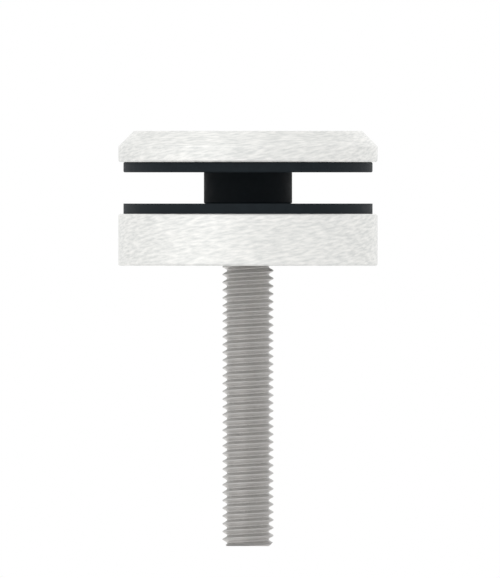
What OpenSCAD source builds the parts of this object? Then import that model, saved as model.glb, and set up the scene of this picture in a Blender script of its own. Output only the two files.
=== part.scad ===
// Glass panel standoff: a round point fixing for a drilled glass panel.
// The base disc stands with its wall face on z = 0 and everything is stacked
// from there towards +Z, the room side. The screw runs down the common axis
// and its threaded end reaches below z = 0, into the wall.
// Units are millimetres.

/* [Discs] */
// Diameter of the front disc and the base disc
disc_d = 50; // [40:1:80]
// Thickness of the front disc
front_disc_t = 6; // [5:0.5:14]
// 45 degree bevel round the front disc's outer face
front_bevel = 3; // [0.5:0.5:4]
// Thickness of the base disc, which sets the panel off from the wall
base_disc_t = 10; // [6:1:60]
// 45 degree chamfer at both ends of the base disc's bore
bore_chamfer = 1.5; // [0.5:0.25:2.5]
// Small 45 degree bevel that breaks the discs' other outer edges and the head's
edge_break = 0.3; // [0.1:0.1:0.5]

/* [Screw] */
// Thread diameter over the crests
thread_d = 10; // [8:1:12]
// Thread pitch
thread_pitch = 1.5; // [1.25:0.25:1.75]
// Overall length of the screw, head included
screw_length = 80; // [60:5:160]
// Diameter of the countersunk head
head_d = 20; // [17:0.5:24]
// Height of the straight rim round the head
head_rim = 1.8; // [0.5:0.1:2.5]
// Included angle of the head's cone and of the countersink
cone_angle = 90; // [82:1:96]
// Hex socket across its flats
socket_af = 6; // [4:1:8]
// Depth of the hex socket's flats
socket_depth = 4.5; // [3:0.25:5]

/* [Gaskets] */
// Thickness of the rear gasket and of the front gasket's flange
gasket_t = 2; // [1:0.25:4]
// How far the gaskets stay back from the discs' rims
gasket_inset = 1; // [0.5:0.25:3]
// Wall of the sleeve that lines the hole in the glass
sleeve_wall = 1.5; // [1:0.25:3]
// Radius on the moulded edges of the front gasket
moulded_radius = 0.3; // [0.1:0.1:0.4]
// Thickness of the glass panel, which the sleeve spans
glass_t = 6; // [4:0.5:24]

/* [Clearances] */
// Round the head's rim, in the mouth of the countersink
head_clearance = 0.25; // [0.1:0.05:0.5]
// Between the head's cone and its seat, square to the cone
seat_clearance = 0.05; // [0.02:0.01:0.1]
// Round the thread, in the hole through the front disc
hole_clearance = 1; // [0.5:0.25:1.5]
// Round the thread, in the base disc and the rear gasket
bore_clearance = 0.25; // [0.15:0.05:0.5]
// Round the thread, in the sleeve
sleeve_clearance = 2; // [1:0.25:3]
// Round the head's cone, where it dips into the front gasket
cone_clearance = 0.3; // [0.2:0.05:0.5]

/* [Hidden] */
$fn = 96;

disc_colour = [0.91, 0.91, 0.9];
rubber_colour = [0.16, 0.18, 0.19];
screw_colour = [0.6, 0.59, 0.58];

// Levels of the stack, from the wall outwards
base_top = base_disc_t;
glass_bottom = base_top + gasket_t;
glass_top = glass_bottom + glass_t;
flange_top = glass_top + gasket_t;
stack_top = flange_top + front_disc_t;

// Radii that belong to one piece alone
disc_r = disc_d / 2;
gasket_r = disc_r - gasket_inset;
thread_r = thread_d / 2;
head_r = head_d / 2;
// Depth of the metric thread form on a screw, as a share of its pitch
thread_depth = 0.6134;
core_r = thread_r - thread_depth * thread_pitch;
tip_chamfer = thread_r - core_r;
screw_tip = stack_top - screw_length;

// The head's cone narrows by this much for each millimetre of depth
cone_slope = tan(cone_angle / 2);
cone_height = (head_r - thread_r) / cone_slope;
// The seat is the same cone, set back by this much along the radius
seat_offset = seat_clearance / cos(cone_angle / 2);

// Radii and depths that fit the screw
mouth_r = head_r + head_clearance;
mouth_depth = head_rim - (head_clearance - seat_offset) / cone_slope;
hole_r = thread_r + hole_clearance;
bore_r = thread_r + bore_clearance;
// The seat ends in the hole, or on a thin disc it runs out through the underside
seat_r_at_underside = mouth_r - (front_disc_t - mouth_depth) * cone_slope;
seat_meets_hole = seat_r_at_underside < hole_r;
seat_end = mouth_depth + (mouth_r - hole_r) / cone_slope;
// The sleeve clears the thread, and the head's cone where that reaches below the disc
sleeve_bore_r = max(thread_r + sleeve_clearance, seat_r_at_underside + cone_clearance);
sleeve_r = sleeve_bore_r + sleeve_wall;

socket_corner_r = socket_af / 2 / cos(30);
socket_chamfer = 0.2;
// The pilot drill's point under the flats
drill_angle = 118;
socket_point = socket_af / 2 / tan(drill_angle / 2);
// Cuts run past the faces that they open by this much
past = 0.1;
// Straight pieces in each moulded quarter round
round_steps = 5;

// Points of a quarter round about a centre, starting at an angle
function quarter_round(centre, radius, start) = [
    for (step = [0:round_steps])
        let (angle = start + 90 * step / round_steps)
        centre + radius * [cos(angle), sin(angle)]
];

// Clamping disc with a bevelled face and a countersink for the screw's head
module front_disc() {
    color(disc_colour)
        translate([0, 0, flange_top])
            rotate_extrude()
                polygon([
                    [seat_meets_hole ? hole_r : seat_r_at_underside, 0],
                    [disc_r - edge_break, 0],
                    [disc_r, edge_break],
                    [disc_r, front_disc_t - front_bevel],
                    [disc_r - front_bevel, front_disc_t],
                    [mouth_r, front_disc_t],
                    [mouth_r, front_disc_t - mouth_depth],
                    if (seat_meets_hole)
                        [hole_r, front_disc_t - seat_end]
                ]);
}

// One moulding: the flange under the front disc and the sleeve that lines the glass
module front_gasket() {
    inner_corner = sleeve_bore_r + moulded_radius;
    outer_corner = gasket_r - moulded_radius;
    flange_low = glass_t + moulded_radius;
    flange_high = glass_t + gasket_t - moulded_radius;
    color(rubber_colour)
        translate([0, 0, glass_bottom])
            rotate_extrude()
                polygon([
                    [sleeve_bore_r, 0],
                    each quarter_round([sleeve_r - moulded_radius, moulded_radius], moulded_radius, -90),
                    [sleeve_r, glass_t],
                    each quarter_round([outer_corner, flange_low], moulded_radius, -90),
                    each quarter_round([outer_corner, flange_high], moulded_radius, 0),
                    each quarter_round([inner_corner, flange_high], moulded_radius, 90)
                ]);
}

// Flat ring punched from sheet
module rear_gasket() {
    color(rubber_colour)
        translate([0, 0, base_top])
            rotate_extrude()
                translate([bore_r, 0])
                    square([gasket_r - bore_r, gasket_t]);
}

// Spacer disc that stands on the wall, bored to pass the screw
module base_disc() {
    color(disc_colour)
        rotate_extrude()
            polygon([
                [bore_r + bore_chamfer, 0],
                [disc_r - edge_break, 0],
                [disc_r, edge_break],
                [disc_r, base_disc_t - edge_break],
                [disc_r - edge_break, base_disc_t],
                [bore_r + bore_chamfer, base_disc_t],
                [bore_r, base_disc_t - bore_chamfer],
                [bore_r, bore_chamfer]
            ]);
}

// Hex socket with a bevelled mouth and a drilled point, opening upwards at z = 0
module hex_socket() {
    mouth = socket_corner_r + socket_chamfer;
    translate([0, 0, -socket_depth])
        cylinder(h = socket_depth + past, r = socket_corner_r, $fn = 6);
    translate([0, 0, -socket_depth - socket_point])
        cylinder(h = socket_point, r1 = 0, r2 = socket_af / 2);
    translate([0, 0, socket_af / 2 - mouth])
        cylinder(h = mouth - socket_af / 2 + past, r1 = socket_af / 2, r2 = mouth + past);
}

// Countersunk screw, threaded up to its head, drawn over the thread's crests
module countersunk_screw() {
    color(screw_colour)
        difference() {
            rotate_extrude()
                polygon([
                    [0, screw_tip],
                    [core_r, screw_tip],
                    [thread_r, screw_tip + tip_chamfer],
                    [thread_r, stack_top - head_rim - cone_height],
                    [head_r, stack_top - head_rim],
                    [head_r, stack_top - edge_break],
                    [head_r - edge_break, stack_top],
                    [0, stack_top]
                ]);
            translate([0, 0, stack_top])
                hex_socket();
        }
}

front_disc();
front_gasket();
rear_gasket();
base_disc();
countersunk_screw();
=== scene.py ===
"""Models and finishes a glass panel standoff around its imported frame.

Laid out as an add-on. Lengths are in metres. Heights count from the wall face along the screw's
axis, which is Z, and radii from that axis. The frame gives each piece's outer size and place, and
what it doesn't give is a property below.
"""

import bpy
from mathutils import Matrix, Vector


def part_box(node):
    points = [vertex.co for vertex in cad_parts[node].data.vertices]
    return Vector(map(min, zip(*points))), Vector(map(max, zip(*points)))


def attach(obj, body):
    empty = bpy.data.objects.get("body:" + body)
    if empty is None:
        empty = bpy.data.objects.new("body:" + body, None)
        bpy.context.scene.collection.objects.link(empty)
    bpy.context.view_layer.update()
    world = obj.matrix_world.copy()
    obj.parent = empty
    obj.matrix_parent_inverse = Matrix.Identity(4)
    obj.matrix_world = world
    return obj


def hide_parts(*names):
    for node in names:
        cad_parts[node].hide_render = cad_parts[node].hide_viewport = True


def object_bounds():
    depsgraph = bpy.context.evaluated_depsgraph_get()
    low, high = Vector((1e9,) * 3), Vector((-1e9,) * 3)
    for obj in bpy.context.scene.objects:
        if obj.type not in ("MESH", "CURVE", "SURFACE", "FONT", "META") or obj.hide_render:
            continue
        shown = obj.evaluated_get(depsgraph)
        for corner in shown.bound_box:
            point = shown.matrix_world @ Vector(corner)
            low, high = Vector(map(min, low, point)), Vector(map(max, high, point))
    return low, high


bl_info = {
    "name": "Glass Panel Standoff",
    "version": (1, 0, 0),
    "blender": (4, 5, 0),
    "location": "View3D > Sidebar > Standoff",
    "description": "Models and finishes a round point fixing for a glass panel",
    "category": "Add Mesh",
}

import math

import bmesh
import bpy
from bpy.props import FloatProperty, FloatVectorProperty, IntProperty, PointerProperty
from mathutils import Vector

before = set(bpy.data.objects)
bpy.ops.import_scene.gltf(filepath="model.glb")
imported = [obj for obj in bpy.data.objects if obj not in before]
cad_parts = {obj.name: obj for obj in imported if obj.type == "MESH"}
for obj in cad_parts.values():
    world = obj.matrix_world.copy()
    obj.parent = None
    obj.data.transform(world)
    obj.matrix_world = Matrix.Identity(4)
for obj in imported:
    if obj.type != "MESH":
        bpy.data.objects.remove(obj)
CAD_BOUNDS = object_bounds()

MM = 0.001
# Two points closer than this are one
SAME_PLACE = 0.0005 * MM
# A cut takes points that lie closer to it than this as being on it
CUT_SNAP = SAME_PLACE / 10
# Faces that meet at less than this are shaded as one curve
SMOOTH_ANGLE = math.radians(28)

# Depth of the metric thread form on a screw, as a share of its pitch
THREAD_DEPTH = 0.6134
# Between a metric thread's flank and a plane square to its axis
FLANK_ANGLE = math.radians(30)
# Half of a hexagon's side, seen from its centre
HALF_SIDE_ANGLE = math.radians(30)


# Properties ---------------------------------------------------------------------------------


def length(name, millimetres, description):
    """A length property, given in millimetres and held in metres."""
    return FloatProperty(
        name=name,
        description=description,
        default=millimetres * MM,
        min=0.0,
        precision=5,
        unit="LENGTH",
        subtype="DISTANCE",
    )


def angle(name, degrees, description):
    """An angle property, given in degrees and held in radians."""
    return FloatProperty(
        name=name,
        description=description,
        default=math.radians(degrees),
        unit="ROTATION",
        subtype="ANGLE",
    )


def tint(name, colour, description):
    """A colour property."""
    return FloatVectorProperty(
        name=name,
        description=description,
        default=colour,
        size=3,
        min=0.0,
        max=1.0,
        subtype="COLOR",
    )


class StandoffSizes(bpy.types.PropertyGroup):
    """Sizes that the frame's boxes don't give."""

    front_bevel: length("Front bevel", 3.0, "Bevel round the front disc's outer face")
    edge_break: length("Edge break", 0.3, "Small bevel on the other outer edges")
    bore_chamfer: length("Bore chamfer", 1.5, "Chamfer at both ends of the base disc's bore")
    soft_edge: length("Soft edge", 0.06, "How far a turned edge is rounded by polishing")
    bore_clearance: length("Bore clearance", 0.25, "Round the thread, in the base disc")
    hole_clearance: length("Hole clearance", 1.0, "Round the thread, in the front disc")
    head_clearance: length("Head clearance", 0.25, "Round the head's rim, in the countersink")
    seat_clearance: length("Seat clearance", 0.05, "Between the head's cone and its seat")

    sleeve_clearance: length("Sleeve clearance", 2.0, "Round the thread, in the sleeve")
    sleeve_wall: length("Sleeve wall", 1.5, "Wall of the sleeve that lines the glass")
    moulded_radius: length("Moulded radius", 0.3, "Radius on the gasket's moulded edges")
    punched_edge: length("Punched edge", 0.08, "Rounding of the punched ring's edges")

    thread_diameter: length("Thread diameter", 10.0, "Over the crests")
    thread_pitch: length("Thread pitch", 1.5, "Rise for each turn, right-hand")
    thread_start: length("Thread start", 0.55, "Height of the first crest above the tip, on +X")
    thread_allowance: length("Thread allowance", 0.08, "How far the rolled thread lies undersize")
    head_rim: length("Head rim", 1.8, "Height of the straight rim round the head")
    cone_angle: angle("Cone angle", 90.0, "Included angle of the head's cone and of its seat")
    socket_flats: length("Socket flats", 6.0, "Hex socket across its flats")
    socket_depth: length("Socket depth", 4.5, "Depth of the hex socket's flats")
    socket_chamfer: length("Socket chamfer", 0.2, "Bevel round the socket's mouth")
    drill_angle: angle("Drill angle", 118.0, "Point of the pilot hole under the flats")

    turned_steps: IntProperty(
        name="Turned steps",
        description="Facets round a disc or a gasket",
        default=192,
        min=24,
    )
    thread_steps: IntProperty(
        name="Thread steps",
        description="Facets in each turn of the thread",
        default=80,
        min=24,
    )


class StandoffFinish(bpy.types.PropertyGroup):
    """Colours of the three materials."""

    disc_pale: tint("Disc, pale", (0.895, 0.89, 0.868), "Bright streaks in the satin steel")
    disc_deep: tint("Disc, deep", (0.70, 0.71, 0.697), "Dull streaks in the satin steel")
    rubber: tint("Rubber", (0.0062, 0.0102, 0.0132), "Gaskets")
    rubber_bloom: tint("Rubber bloom", (0.0105, 0.0155, 0.019), "Dry film on the rubber")
    # Painted highlight: lightens the thread's lower flanks and roots in colour
    screw_painted_highlight: tint("Screw, bright", (0.84, 0.82, 0.80), "The thread's burnished lower flank")
    screw_plain: tint("Screw, plain", (0.47, 0.46, 0.45), "The head, the crests and the roots")
    # Painted shade on the thread's upper flanks, and the colour of the turned rings and rolled
    # lines
    screw_shade_and_rings: tint("Screw, dull", (0.395, 0.39, 0.38), "The thread's dull upper flank")


class StandoffStage(bpy.types.PropertyGroup):
    """Floor, lamps and camera."""

    floor_size: length("Floor size", 4000.0, "Side of the floor")
    floor_gap: length("Floor gap", 0.2, "Between the floor and the screw's tip")
    floor_colour: tint("Floor colour", (0.98, 0.98, 0.98), "Paper under the object")
    ambient: FloatProperty(
        name="Ambient",
        description="Strength of the white surroundings on matt surfaces",
        default=0.9,
        min=0.0,
        max=1.0,
    )
    view_height: length("View height", 111.37, "What the camera takes in from top to bottom")
    view_x: length("View X", 0.385, "How far the camera stands to the right of the axis")
    view_drop: length("View drop", 4.47, "How far the camera stands below the wall face")
    view_distance: length("View distance", 400.0, "From the camera to the axis")


# Modelling ----------------------------------------------------------------------------------


def select_only(piece):
    """Makes a piece the one thing selected."""
    bpy.ops.object.select_all(action="DESELECT")
    piece.select_set(True)
    bpy.context.view_layer.objects.active = piece


def select_points(piece, wanted):
    """In edit mode, selects the points whose place passes a test."""
    bpy.ops.mesh.select_mode(type="VERT")
    bpy.ops.mesh.select_all(action="DESELECT")
    mesh = bmesh.from_edit_mesh(piece.data)
    for point in mesh.verts:
        point.select_set(wanted(point.co))
    mesh.select_flush_mode()
    bmesh.update_edit_mesh(piece.data)


def draw_outline(name, corners, round_steps=4):
    """Extrudes a chain through (radius, height, rounding) corners and leaves it in edit mode."""
    bpy.ops.object.select_all(action="DESELECT")
    bpy.ops.mesh.primitive_plane_add(size=MM)
    piece = bpy.context.active_object
    piece.name = piece.data.name = name
    bpy.ops.object.mode_set(mode="EDIT")
    bpy.ops.mesh.select_all(action="SELECT")
    bpy.ops.mesh.merge(type="CENTER")
    places = [Vector((radius, 0.0, height)) for radius, height, _ in corners]
    bpy.ops.transform.translate(value=places[0])
    for before, after in zip(places, places[1:]):
        bpy.ops.mesh.extrude_region_move(TRANSFORM_OT_translate={"value": after - before})
    bpy.ops.mesh.select_all(action="SELECT")
    bpy.ops.mesh.remove_doubles(threshold=SAME_PLACE)
    for place, (_, _, rounding) in zip(places, corners):
        if rounding:
            select_points(piece, lambda co: (co - place).length < SAME_PLACE)
            bpy.ops.mesh.bevel(offset=rounding, segments=round_steps, affect="VERTICES")
    return piece


def turn(name, corners, steps, round_steps=4):
    """Spins an outline about the screw's axis into a closed solid."""
    piece = draw_outline(name, corners, round_steps)
    bpy.ops.mesh.select_all(action="SELECT")
    bpy.ops.mesh.spin(steps=steps, angle=math.tau, center=(0, 0, 0), axis=(0, 0, 1))
    close_mesh()
    return piece


def close_mesh():
    """Merges doubles, points the faces outwards and leaves edit mode."""
    bpy.ops.mesh.select_all(action="SELECT")
    bpy.ops.mesh.remove_doubles(threshold=SAME_PLACE)
    bpy.ops.mesh.normals_make_consistent(inside=False)
    bpy.ops.object.mode_set(mode="OBJECT")


def apply_modifier(piece, kind, **settings):
    """Adds a modifier, sets it and applies it."""
    select_only(piece)
    bpy.ops.object.modifier_add(type=kind)
    modifier = piece.modifiers[-1]
    for name, value in settings.items():
        setattr(modifier, name, value)
    bpy.ops.object.modifier_apply(modifier=modifier.name)


def combine(piece, tool, operation):
    """Unites, cuts or trims a piece with another solid, which is then deleted."""
    apply_modifier(piece, "BOOLEAN", operation=operation, object=tool, solver="EXACT")
    select_only(tool)
    bpy.ops.object.delete()


def smooth(piece):
    """Shades curved faces smooth and keeps flat ones flat."""
    select_only(piece)
    bpy.ops.object.shade_smooth_by_angle(angle=SMOOTH_ANGLE)
    apply_modifier(piece, "WEIGHTED_NORMAL", keep_sharp=True)


def finish_piece(piece, material, body, node):
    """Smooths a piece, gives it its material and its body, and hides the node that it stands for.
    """
    smooth(piece)
    piece.data.materials.clear()
    piece.data.materials.append(material)
    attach(piece, body)
    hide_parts(node)


# Materials ----------------------------------------------------------------------------------


def place(tree, kind, inputs=None, **settings):
    """Adds a node. An input is given a value, or an output to be joined to."""
    node = tree.nodes.new(kind)
    for name, value in settings.items():
        setattr(node, name, value)
    for name, value in (inputs or {}).items():
        if isinstance(value, bpy.types.NodeSocket):
            tree.links.new(value, node.inputs[name])
        else:
            node.inputs[name].default_value = value
    return node


def math_node(tree, operation, *values):
    """Adds a Math node and gives back its output."""
    return place(tree, "ShaderNodeMath", dict(enumerate(values)), operation=operation).outputs[0]


def spread(tree, value, low, high, to_low=0.0, to_high=1.0):
    """Stretches a value from one range to another and clamps it."""
    inputs = {
        "Value": value,
        "From Min": low,
        "From Max": high,
        "To Min": to_low,
        "To Max": to_high,
    }
    return place(tree, "ShaderNodeMapRange", inputs).outputs["Result"]


def mix_tints(tree, share, first, second):
    """Mixes two colours and gives back the result."""
    node = place(tree, "ShaderNodeMix", {"Factor": share}, data_type="RGBA")
    for socket, colour in ((node.inputs[6], first), (node.inputs[7], second)):
        if isinstance(colour, bpy.types.NodeSocket):
            tree.links.new(colour, socket)
        else:
            socket.default_value = (*colour, 1.0)
    return node.outputs[2]


def new_group(name, inputs, outputs):
    """Starts a node group with float inputs (name, value) and float outputs."""
    group = bpy.data.node_groups.new(name, "ShaderNodeTree")
    for label, value in inputs:
        socket = group.interface.new_socket(label, in_out="INPUT", socket_type="NodeSocketFloat")
        socket.default_value = value
    for label in outputs:
        group.interface.new_socket(label, in_out="OUTPUT", socket_type="NodeSocketFloat")
    return group


# Where nearly all of a noise's values lie
NOISE_LOW, NOISE_HIGH = 0.3, 0.7
# How far the second chart of the grain is read from the first, so that the two differ
CHART_SHIFT = 50.0
# The charts fade into each other over this much of the radius, to either side
CHART_FADE = 0.15
# A share of the level that keeps the noise's cells out of line with the axis
CELL_SKEW = 0.37


def spread_noise(tree, noise, to_low, to_high):
    """Stretches a noise from where its values lie to another range."""
    return spread(tree, noise, NOISE_LOW, NOISE_HIGH, to_low, to_high)


def mix_values(tree, share, first, second):
    """Adds a fixed share of one value to the rest of another."""
    rest = math_node(tree, "MULTIPLY", second, 1 - share)
    return math_node(tree, "MULTIPLY_ADD", first, share, rest)


def turned_grain_group():
    """Streaks that follow a turned surface round its axis, with no seam.

    Two charts are laid round the axis, one that starts at the front and one at the back. Each
    shows the half that lies away from its own seam, and they fade into each other at the sides.
    """
    name = "Turned Grain"
    if name in bpy.data.node_groups:
        return bpy.data.node_groups[name]
    inputs = (
        ("Rim Radius", 25 * MM),
        ("Streak Length", 3 * MM),
        ("Streak Width", 0.3 * MM),
        ("Slant", 0.3),
        ("Detail", 3.0),
    )
    group = new_group(name, inputs, ("Grain",))
    given = place(group, "NodeGroupInput").outputs
    place_on_piece = place(group, "ShaderNodeTexCoord").outputs["Object"]
    x, y, z = place(group, "ShaderNodeSeparateXYZ", {"Vector": place_on_piece}).outputs
    flat = place(group, "ShaderNodeCombineXYZ", {"X": x, "Y": y}).outputs[0]
    radius = place(group, "ShaderNodeVectorMath", {0: flat}, operation="LENGTH").outputs["Value"]
    # Along walls and bevels this runs steadily up the outline
    outline = math_node(group, "SUBTRACT", z, radius)
    back_x = math_node(group, "MULTIPLY", x, -1.0)
    front_y = math_node(group, "MULTIPLY", y, -1.0)
    charts = []
    for shift, side, towards in ((0.0, x, front_y), (CHART_SHIFT, back_x, y)):
        turned = math_node(group, "ARCTAN2", side, towards)
        arc = math_node(group, "MULTIPLY", turned, given["Rim Radius"])
        rise = math_node(group, "MULTIPLY", arc, given["Slant"])
        along = math_node(group, "DIVIDE", arc, given["Streak Length"])
        level = math_node(group, "SUBTRACT", outline, rise)
        across = math_node(group, "DIVIDE", level, given["Streak Width"])
        along = math_node(group, "MULTIPLY_ADD", across, CELL_SKEW, along)
        parts = {
            "X": math_node(group, "ADD", along, shift),
            "Y": across,
            "Z": math_node(group, "DIVIDE", radius, given["Streak Width"]),
        }
        vector = place(group, "ShaderNodeCombineXYZ", parts).outputs[0]
        noise = {"Vector": vector, "Scale": 1.0, "Detail": given["Detail"], "Roughness": 0.55}
        charts.append(place(group, "ShaderNodeTexNoise", noise).outputs[0])
    share = spread(group, math_node(group, "DIVIDE", y, radius), -CHART_FADE, CHART_FADE)
    blend = place(group, "ShaderNodeMix", {0: share, 2: charts[0], 3: charts[1]})
    place(group, "NodeGroupOutput", {"Grain": blend.outputs[0]})
    return group


def grain(tree, rim_radius, long, wide, slant, detail):
    """Places the turned grain group and gives back its output."""
    inputs = {
        "Rim Radius": rim_radius,
        "Streak Length": long,
        "Streak Width": wide,
        "Slant": slant,
        "Detail": detail,
    }
    node = tree.nodes.new("ShaderNodeGroup")
    node.node_tree = turned_grain_group()
    for name, value in inputs.items():
        node.inputs[name].default_value = value
    return node.outputs["Grain"]


def new_material(name):
    """Starts a material, or gives back the one that is there, with whether it is new."""
    if name in bpy.data.materials:
        return bpy.data.materials[name], False
    material = bpy.data.materials.new(name)
    material.use_nodes = True
    material.node_tree.nodes.clear()
    return material, True


def join_shader(tree, inputs):
    """Ends a material in a Principled BSDF."""
    shader = place(tree, "ShaderNodeBsdfPrincipled", inputs)
    place(tree, "ShaderNodeOutputMaterial", {"Surface": shader.outputs[0]})


def bump(tree, height, distance):
    """Turns a height into a normal."""
    inputs = {"Height": height, "Distance": distance, "Strength": 1.0}
    return place(tree, "ShaderNodeBump", inputs).outputs[0]


def satin_steel(finish, rim_radius):
    """Pale satin steel, with slanting streaks over fine lines left by turning."""
    material, is_new = new_material("disc_steel_satin")
    if not is_new:
        return material
    tree = material.node_tree
    slant = 0.2
    streaks = grain(tree, rim_radius, long=2 * MM, wide=0.5 * MM, slant=slant, detail=3.0)
    clouds = grain(tree, rim_radius, long=5 * MM, wide=2 * MM, slant=slant, detail=2.0)
    lines = grain(tree, rim_radius, long=9 * MM, wide=0.05 * MM, slant=0.0, detail=1.0)
    share = spread(tree, mix_values(tree, 0.8, streaks, clouds), 0.36, 0.64)
    height = mix_values(tree, 0.4, lines, streaks)
    inputs = {
        "Base Color": mix_tints(tree, share, finish.disc_deep, finish.disc_pale),
        "Metallic": 1.0,
        "Roughness": spread_noise(tree, lines, 0.5, 0.62),
        "Normal": bump(tree, height, distance=0.012 * MM),
    }
    join_shader(tree, inputs)
    return material


def moulded_rubber(finish):
    """Matt black rubber with a dry bloom and the fine tooth of its mould."""
    material, is_new = new_material("gasket_rubber_matt")
    if not is_new:
        return material
    tree = material.node_tree
    where = place(tree, "ShaderNodeTexCoord").outputs["Object"]
    patch_size = 3 * MM
    tooth_size = 0.18 * MM
    bloom_inputs = {"Vector": where, "Scale": 1 / patch_size, "Detail": 4.0, "Roughness": 0.6}
    bloom = place(tree, "ShaderNodeTexNoise", bloom_inputs).outputs[0]
    tooth_inputs = {"Vector": where, "Scale": 1 / tooth_size, "Detail": 2.0, "Roughness": 0.5}
    tooth = place(tree, "ShaderNodeTexNoise", tooth_inputs).outputs[0]
    share = spread(tree, bloom, 0.4, 0.7)
    inputs = {
        "Base Color": mix_tints(tree, share, finish.rubber, finish.rubber_bloom),
        "Roughness": spread_noise(tree, bloom, 0.58, 0.72),
        "Specular IOR Level": 0.15,
        "Normal": bump(tree, tooth, distance=0.02 * MM),
    }
    join_shader(tree, inputs)
    return material


def thread_phase_group():
    """How far a point lies above the thread's root under it, as a share of the pitch."""
    name = "Thread Phase"
    if name in bpy.data.node_groups:
        return bpy.data.node_groups[name]
    group = new_group(name, (("Pitch", 1.5 * MM), ("Root Height", 0.0)), ("Phase",))
    given = place(group, "NodeGroupInput").outputs
    where = place(group, "ShaderNodeTexCoord").outputs["Object"]
    x, y, z = place(group, "ShaderNodeSeparateXYZ", {"Vector": where}).outputs
    turned = math_node(group, "DIVIDE", math_node(group, "ARCTAN2", y, x), math.tau)
    above = math_node(group, "SUBTRACT", z, given["Root Height"])
    risen = math_node(group, "DIVIDE", above, given["Pitch"])
    phase = math_node(group, "FRACT", math_node(group, "SUBTRACT", risen, turned))
    place(group, "NodeGroupOutput", {"Phase": phase})
    return group


def band(tree, value, rise_from, rise_to, fall_from, fall_to):
    """A soft band: 0, then 1 from rise_to to fall_from, then 0 again."""
    rise = spread(tree, value, rise_from, rise_to)
    fall = spread(tree, value, fall_from, fall_to, 1.0, 0.0)
    return math_node(tree, "MULTIPLY", rise, fall)


# Where the painted highlight on each lower flank and root and the painted shade on each upper
# flank start, are full, start to fade and end, in shares of the pitch
PAINTED_HIGHLIGHT_BAND = (0.0, 0.13, 0.36, 0.46)
PAINTED_SHADE_BAND = (0.54, 0.64, 0.9, 1.0)
# The painted bands come in between these shares of the thread's radius, which keeps the flat tip
# plain
BANDS_FROM, BANDS_FULL = 0.7, 0.75


def screw_steel(finish, sizes, tip, cone_low):
    """Grey steel with rolled lines, with painted light and shade on its thread: a painted
    highlight on each lower flank and root, and painted shade on each upper flank.
    """
    material, is_new = new_material("screw_steel_painted_flank_light")
    if not is_new:
        return material
    tree = material.node_tree
    thread_r = sizes.thread_diameter / 2
    phase_node = tree.nodes.new("ShaderNodeGroup")
    phase_node.node_tree = thread_phase_group()
    phase_node.inputs["Pitch"].default_value = sizes.thread_pitch
    root_height = tip + sizes.thread_start - sizes.thread_pitch / 2
    phase_node.inputs["Root Height"].default_value = root_height
    phase = phase_node.outputs["Phase"]
    where = place(tree, "ShaderNodeTexCoord").outputs["Object"]
    height = place(tree, "ShaderNodeSeparateXYZ", {"Vector": where}).outputs["Z"]
    flat = place(tree, "ShaderNodeVectorMath", {0: where, 1: (1, 1, 0)}, operation="MULTIPLY")
    radius = place(tree, "ShaderNodeVectorMath", {0: flat.outputs[0]}, operation="LENGTH")
    radius = radius.outputs["Value"]
    below_head = spread(tree, height, cone_low - sizes.thread_pitch, cone_low, 1.0, 0.0)
    off_end = spread(tree, radius, BANDS_FROM * thread_r, BANDS_FULL * thread_r)
    threaded = math_node(tree, "MULTIPLY", below_head, off_end)
    # Painted light and shade: the upper flanks are darkened and the lower flanks and roots
    # lightened in colour
    shade_and_grain = math_node(tree, "MULTIPLY", band(tree, phase, *PAINTED_SHADE_BAND), threaded)
    painted_highlight = math_node(tree, "MULTIPLY", band(tree, phase, *PAINTED_HIGHLIGHT_BAND), threaded)
    lead = sizes.thread_pitch / (math.tau * thread_r)
    lines = grain(tree, thread_r, long=3 * MM, wide=0.07 * MM, slant=lead, detail=2.0)
    clouds = grain(tree, thread_r, long=4 * MM, wide=1.1 * MM, slant=lead, detail=3.0)
    rings = grain(tree, thread_r, long=9 * MM, wide=0.22 * MM, slant=0.0, detail=2.0)
    # The steel's own rolled lines and, below, its turned rings are added to the painted shade
    shade_and_grain = math_node(tree, "ADD", shade_and_grain, spread_noise(tree, lines, -0.1, 0.1))
    # The rings that turning leaves are plain on the head and faint on the thread
    ring_strength = spread(tree, threaded, 0.0, 1.0, 0.9, 0.25)
    rings = spread(tree, rings, 0.33, 0.7, -0.05, 0.95)
    shade_and_grain = math_node(tree, "ADD", shade_and_grain, math_node(tree, "MULTIPLY", rings, ring_strength))
    # The painted highlight goes over the plain steel, then the painted shade and the steel's own
    # marks
    plain = mix_tints(tree, painted_highlight, finish.screw_plain, finish.screw_painted_highlight)
    inputs = {
        "Base Color": mix_tints(tree, shade_and_grain, plain, finish.screw_shade_and_rings),
        "Metallic": 1.0,
        "Roughness": spread_noise(tree, clouds, 0.38, 0.46),
        "Normal": bump(tree, lines, distance=0.008 * MM),
    }
    join_shader(tree, inputs)
    return material


# Pieces -------------------------------------------------------------------------------------


def screw_sizes(sizes):
    """Levels and radii of the screw that its neighbours share."""
    _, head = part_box("countersunk_screw")
    slope = math.tan(sizes.cone_angle / 2)
    thread_r = sizes.thread_diameter / 2
    depth = THREAD_DEPTH * sizes.thread_pitch
    return slope, thread_r, thread_r - depth, head.x, head.z


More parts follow.
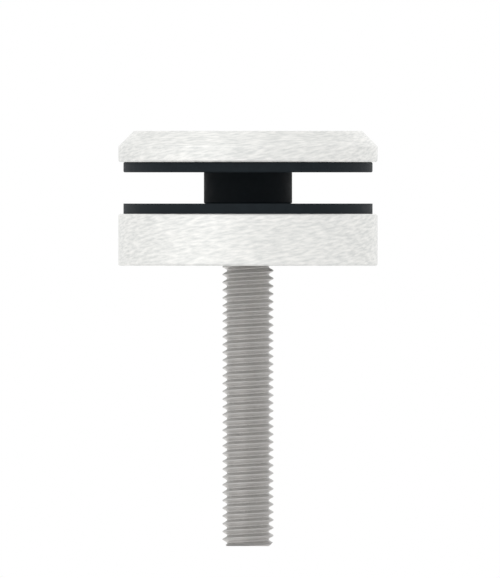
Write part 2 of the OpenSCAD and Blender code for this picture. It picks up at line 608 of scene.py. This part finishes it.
class STANDOFF_OT_add_front_disc(bpy.types.Operator):
    """Turn the bevelled clamping disc with the countersink for the screw's head"""

    bl_idname = "standoff.add_front_disc"
    bl_label = "Front Disc"

    def execute(self, context):
        sizes = context.scene.standoff_sizes
        low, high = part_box("front_disc")
        slope, thread_r, _, head_r, _ = screw_sizes(sizes)
        seat_offset = sizes.seat_clearance / math.cos(sizes.cone_angle / 2)
        mouth_r = head_r + sizes.head_clearance
        mouth_depth = sizes.head_rim - (sizes.head_clearance - seat_offset) / slope
        hole_r = thread_r + sizes.hole_clearance
        seat_end = mouth_depth + (mouth_r - hole_r) / slope
        soft = sizes.soft_edge
        outline = [
            (hole_r, low.z, 0.0),
            (high.x - sizes.edge_break, low.z, soft),
            (high.x, low.z + sizes.edge_break, soft),
            (high.x, high.z - sizes.front_bevel, 2 * soft),
            (high.x - sizes.front_bevel, high.z, 2 * soft),
            (mouth_r, high.z, soft),
            (mouth_r, high.z - mouth_depth, 0.0),
            (hole_r, high.z - seat_end, 0.0),
            (hole_r, low.z, 0.0),
        ]
        disc = turn("turned_front_disc", outline, sizes.turned_steps)
        steel = satin_steel(context.scene.standoff_finish, high.x)
        finish_piece(disc, steel, "front_clamp", "front_disc")
        return {"FINISHED"}


class STANDOFF_OT_add_base_disc(bpy.types.Operator):
    """Turn the spacer disc that stands on the wall"""

    bl_idname = "standoff.add_base_disc"
    bl_label = "Base Disc"

    def execute(self, context):
        sizes = context.scene.standoff_sizes
        low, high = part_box("base_disc")
        bore_r = sizes.thread_diameter / 2 + sizes.bore_clearance
        broken, chamfer, soft = sizes.edge_break, sizes.bore_chamfer, sizes.soft_edge
        outline = [
            (bore_r + chamfer, low.z, soft),
            (high.x - broken, low.z, soft),
            (high.x, low.z + broken, soft),
            (high.x, high.z - broken, soft),
            (high.x - broken, high.z, soft),
            (bore_r + chamfer, high.z, soft),
            (bore_r, high.z - chamfer, soft),
            (bore_r, low.z + chamfer, soft),
            (bore_r + chamfer, low.z, soft),
        ]
        disc = turn("turned_base_disc", outline, sizes.turned_steps)
        steel = satin_steel(context.scene.standoff_finish, high.x)
        finish_piece(disc, steel, "base", "base_disc")
        return {"FINISHED"}


class STANDOFF_OT_add_front_gasket(bpy.types.Operator):
    """Mould the flange under the front disc together with the sleeve that lines the glass"""

    bl_idname = "standoff.add_front_gasket"
    bl_label = "Front Gasket"

    def execute(self, context):
        sizes = context.scene.standoff_sizes
        low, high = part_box("front_gasket")
        rear_low, rear_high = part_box("rear_gasket")
        flange_low = high.z - (rear_high.z - rear_low.z)
        inner_r = sizes.thread_diameter / 2 + sizes.sleeve_clearance
        outer_r = inner_r + sizes.sleeve_wall
        moulded = sizes.moulded_radius
        outline = [
            (inner_r, low.z, 0.0),
            (outer_r, low.z, moulded),
            (outer_r, flange_low, 0.0),
            (high.x, flange_low, moulded),
            (high.x, high.z, moulded),
            (inner_r, high.z, moulded),
            (inner_r, low.z, 0.0),
        ]
        gasket = turn("moulded_front_gasket", outline, sizes.turned_steps, round_steps=6)
        rubber = moulded_rubber(context.scene.standoff_finish)
        finish_piece(gasket, rubber, "front_clamp", "front_gasket")
        return {"FINISHED"}


class STANDOFF_OT_add_rear_gasket(bpy.types.Operator):
    """Punch the flat ring between the glass and the base disc"""

    bl_idname = "standoff.add_rear_gasket"
    bl_label = "Rear Gasket"

    def execute(self, context):
        sizes = context.scene.standoff_sizes
        low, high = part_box("rear_gasket")
        bore_r = sizes.thread_diameter / 2 + sizes.bore_clearance
        punched = sizes.punched_edge
        outline = [
            (bore_r, low.z, punched),
            (high.x, low.z, punched),
            (high.x, high.z, punched),
            (bore_r, high.z, punched),
            (bore_r, low.z, punched),
        ]
        gasket = turn("punched_rear_gasket", outline, sizes.turned_steps)
        rubber = moulded_rubber(context.scene.standoff_finish)
        finish_piece(gasket, rubber, "base", "rear_gasket")
        return {"FINISHED"}


def roll_thread(sizes, tip, top):
    """Rolls the threaded rod between two heights: one pitch of its outline, carried up a helix."""
    pitch = sizes.thread_pitch
    crest_r = sizes.thread_diameter / 2 - sizes.thread_allowance
    # A metric crest is flat over an eighth of the pitch, before it is rounded
    half_crest = pitch / 16
    # The flanks meet this far in, before the root is rounded
    sharp_depth = (pitch / 2 - half_crest) / math.tan(FLANK_ANGLE)
    root_round = pitch / 3
    crest_round = pitch / 17
    # Two turns lie below the first crest, so that the cut at the tip meets whole turns
    start = tip + sizes.thread_start - 2 * pitch
    outline = [
        (crest_r, start, 0.0),
        (crest_r, start + half_crest, crest_round),
        (crest_r - sharp_depth, start + pitch / 2, root_round),
        (crest_r, start + pitch - half_crest, crest_round),
        (crest_r, start + pitch, 0.0),
    ]
    rod = draw_outline("rolled_thread", outline, round_steps=5)
    bpy.ops.object.mode_set(mode="OBJECT")
    turns = math.ceil((top - start) / pitch) + 1
    steps = sizes.thread_steps
    apply_modifier(
        rod,
        "SCREW",
        axis="Z",
        angle=math.tau,
        screw_offset=pitch,
        iterations=turns,
        steps=steps,
        render_steps=steps,
    )
    bpy.ops.object.mode_set(mode="EDIT")
    bpy.ops.mesh.select_all(action="SELECT")
    bpy.ops.mesh.remove_doubles(threshold=SAME_PLACE)
    for height, upwards in ((tip, -1), (top, 1)):
        bpy.ops.mesh.select_all(action="SELECT")
        bpy.ops.mesh.bisect(
            plane_co=(0, 0, height),
            plane_no=(0, 0, upwards),
            threshold=CUT_SNAP,
            use_fill=True,
            clear_outer=True,
        )
    close_mesh()
    return rod


def point_rod(rod, sizes, core_r, tip, top):
    """Turns the chamfer on the end of the threaded rod."""
    # The tool reaches this far past the rod
    beyond = MM
    reach = sizes.thread_diameter / 2 - core_r + beyond
    outline = [
        (0.0, tip - beyond, 0.0),
        (core_r - beyond, tip - beyond, 0.0),
        (core_r + reach, tip + reach, 0.0),
        (core_r + reach, top + beyond, 0.0),
        (0.0, top + beyond, 0.0),
    ]
    envelope = turn("envelope", outline, sizes.turned_steps)
    combine(rod, envelope, "INTERSECT")


def turn_head(sizes, slope, core_r, head_r, top):
    """Turns the countersunk head with a stub that reaches down into the rod."""
    soft = sizes.soft_edge
    rim_low = top - sizes.head_rim
    cone_low = rim_low - (head_r - core_r) / slope
    outline = [
        (0.0, cone_low - sizes.thread_pitch, 0.0),
        (core_r - soft, cone_low - sizes.thread_pitch, 0.0),
        (core_r - soft, cone_low - soft / slope, 0.0),
        (head_r, rim_low, 2 * soft),
        (head_r, top - sizes.edge_break, soft),
        (head_r - sizes.edge_break, top, soft),
        (0.0, top, 0.0),
    ]
    return turn("countersunk_head", outline, sizes.turned_steps)


def cut_socket(screw, sizes, top):
    """Cuts the hex socket, its bevelled mouth and the point of its pilot hole."""
    # The tools reach this far past the faces that they open
    past = 0.1 * MM
    flat_r = sizes.socket_flats / 2
    corner_r = flat_r / math.cos(HALF_SIDE_ANGLE)
    # The pilot hole stays just inside the flats, so that a narrow ledge is left round it
    drill_r = flat_r - sizes.soft_edge
    point = drill_r / math.tan(sizes.drill_angle / 2)
    mouth_r = corner_r + sizes.socket_chamfer
    floor = top - sizes.socket_depth
    bpy.ops.object.select_all(action="DESELECT")
    bpy.ops.mesh.primitive_cylinder_add(
        vertices=6,
        radius=corner_r,
        depth=sizes.socket_depth + past,
        location=(0, 0, (floor + top + past) / 2),
    )
    hexagon = bpy.context.active_object
    combine(screw, hexagon, "DIFFERENCE")
    drill = [
        (0.0, floor - point, 0.0),
        (drill_r, floor, 0.0),
        (drill_r, floor + past, 0.0),
        (0.0, floor + past, 0.0),
    ]
    combine(screw, turn("drill_point", drill, sizes.turned_steps), "DIFFERENCE")
    mouth = [
        (0.0, top - (mouth_r - flat_r), 0.0),
        (flat_r, top - (mouth_r - flat_r), 0.0),
        (mouth_r + past, top + past, 0.0),
        (0.0, top + past, 0.0),
    ]
    combine(screw, turn("socket_mouth", mouth, sizes.turned_steps), "DIFFERENCE")


class STANDOFF_OT_add_screw(bpy.types.Operator):
    """Roll the thread, turn its point and the countersunk head, and cut the hex socket"""

    bl_idname = "standoff.add_screw"
    bl_label = "Countersunk Screw"

    def execute(self, context):
        sizes = context.scene.standoff_sizes
        low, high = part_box("countersunk_screw")
        slope, thread_r, core_r, head_r, top = screw_sizes(sizes)
        cone_height = (head_r - thread_r) / slope
        cone_low = top - sizes.head_rim - cone_height
        # The rod ends inside the head
        rod_top = top - sizes.head_rim - cone_height / 2
        screw = roll_thread(sizes, low.z, rod_top)
        point_rod(screw, sizes, core_r, low.z, rod_top)
        combine(screw, turn_head(sizes, slope, core_r, head_r, top), "UNION")
        cut_socket(screw, sizes, top)
        screw.name = screw.data.name = "threaded_screw"
        steel = screw_steel(context.scene.standoff_finish, sizes, low.z, cone_low)
        finish_piece(screw, steel, "screw", "countersunk_screw")
        return {"FINISHED"}


# Stage --------------------------------------------------------------------------------------


# Each lamp's name, the direction that it hangs in, its width in degrees and its strength
LAMPS = (
    ("key_lamp", (-0.8, -0.7, 1.0), 48, 0.36),
    ("front_lamp", (-0.58, -0.93, 0.2), 30, 0.12),
    ("left_lamp", (-1.2, -0.35, 0.06), 51, 0.11),
    ("back_lamp", (0.2, 1.3, 0.36), 48, 0.16),
)


def lay_floor(stage):
    """Lays white paper under the screw's tip, clear from below so that the underside shows."""
    low, _ = CAD_BOUNDS
    bpy.ops.object.select_all(action="DESELECT")
    bpy.ops.mesh.primitive_plane_add(
        size=stage.floor_size,
        location=(0, 0, low.z - stage.floor_gap),
    )
    floor = bpy.context.active_object
    floor.name = "floor"
    material, _ = new_material("floor_paper")
    tree = material.node_tree
    from_below = place(tree, "ShaderNodeNewGeometry").outputs["Backfacing"]
    inputs = {
        "Base Color": (*stage.floor_colour, 1.0),
        "Roughness": 0.9,
        "Specular IOR Level": 0.1,
        "Alpha": math_node(tree, "SUBTRACT", 1.0, from_below),
    }
    join_shader(tree, inputs)
    floor.data.materials.append(material)


def light_world(stage):
    """Surrounds the object with white, a little dimmer where it lights matt surfaces."""
    world = bpy.data.worlds.new("white_surroundings")
    world.use_nodes = True
    tree = world.node_tree
    tree.nodes.clear()
    rays = place(tree, "ShaderNodeLightPath").outputs
    seen = rays["Is Camera Ray"]
    for kind in ("Is Glossy Ray", "Is Transmission Ray"):
        seen = math_node(tree, "MAXIMUM", seen, rays[kind])
    strength = spread(tree, seen, 0.0, 1.0, stage.ambient, 1.0)
    white = (1.0, 1.0, 1.0, 1.0)
    background = place(tree, "ShaderNodeBackground", {"Color": white, "Strength": strength})
    place(tree, "ShaderNodeOutputWorld", {"Surface": background.outputs[0]})
    bpy.context.scene.world = world


def hang_lamp(name, towards, width, strength):
    """Hangs a broad, soft lamp so far off that it lights the floor evenly."""
    bpy.ops.object.light_add(type="SUN", location=towards)
    lamp = bpy.context.active_object
    lamp.name = name
    lamp.data.angle = math.radians(width)
    lamp.data.energy = strength
    lamp.rotation_euler = Vector(towards).to_track_quat("Z", "Y").to_euler()


def set_camera(stage):
    """Stands the camera square to the screw's axis, with no perspective."""
    bpy.ops.object.camera_add(
        location=(stage.view_x, -stage.view_distance, -stage.view_drop),
        rotation=(math.radians(90), 0, 0),
    )
    camera = bpy.context.active_object
    camera.data.type = "ORTHO"
    camera.data.ortho_scale = stage.view_height
    bpy.context.scene.camera = camera


class STANDOFF_OT_set_stage(bpy.types.Operator):
    """Lay the floor, hang the lamps and stand the camera"""

    bl_idname = "standoff.set_stage"
    bl_label = "Stage"

    def execute(self, context):
        stage = context.scene.standoff_stage
        lay_floor(stage)
        light_world(stage)
        for lamp in LAMPS:
            hang_lamp(*lamp)
        set_camera(stage)
        context.scene.view_settings.view_transform = "Standard"
        return {"FINISHED"}


# Add-on -------------------------------------------------------------------------------------


class STANDOFF_PT_pieces(bpy.types.Panel):
    """Lists the pieces and the stage"""

    bl_idname = "STANDOFF_PT_pieces"
    bl_label = "Glass Panel Standoff"
    bl_space_type = "VIEW_3D"
    bl_region_type = "UI"
    bl_category = "Standoff"

    def draw(self, context):
        for operator in OPERATORS:
            self.layout.operator(operator.bl_idname)
        for group in ("standoff_sizes", "standoff_finish", "standoff_stage"):
            column = self.layout.column(align=True)
            settings = getattr(context.scene, group)
            for name in settings.bl_rna.properties.keys():
                if name not in ("rna_type", "name"):
                    column.prop(settings, name)


OPERATORS = (
    STANDOFF_OT_add_front_disc,
    STANDOFF_OT_add_front_gasket,
    STANDOFF_OT_add_rear_gasket,
    STANDOFF_OT_add_base_disc,
    STANDOFF_OT_add_screw,
    STANDOFF_OT_set_stage,
)
CLASSES = (StandoffSizes, StandoffFinish, StandoffStage, *OPERATORS, STANDOFF_PT_pieces)


def register():
    for cls in CLASSES:
        bpy.utils.register_class(cls)
    bpy.types.Scene.standoff_sizes = PointerProperty(type=StandoffSizes)
    bpy.types.Scene.standoff_finish = PointerProperty(type=StandoffFinish)
    bpy.types.Scene.standoff_stage = PointerProperty(type=StandoffStage)


def unregister():
    del bpy.types.Scene.standoff_stage
    del bpy.types.Scene.standoff_finish
    del bpy.types.Scene.standoff_sizes
    for cls in reversed(CLASSES):
        bpy.utils.unregister_class(cls)


def main():
    """Builds every piece and the stage."""
    register()
    bpy.ops.standoff.add_front_disc()
    bpy.ops.standoff.add_front_gasket()
    bpy.ops.standoff.add_rear_gasket()
    bpy.ops.standoff.add_base_disc()
    bpy.ops.standoff.add_screw()
    bpy.ops.standoff.set_stage()


if __name__ == "__main__":
    main()
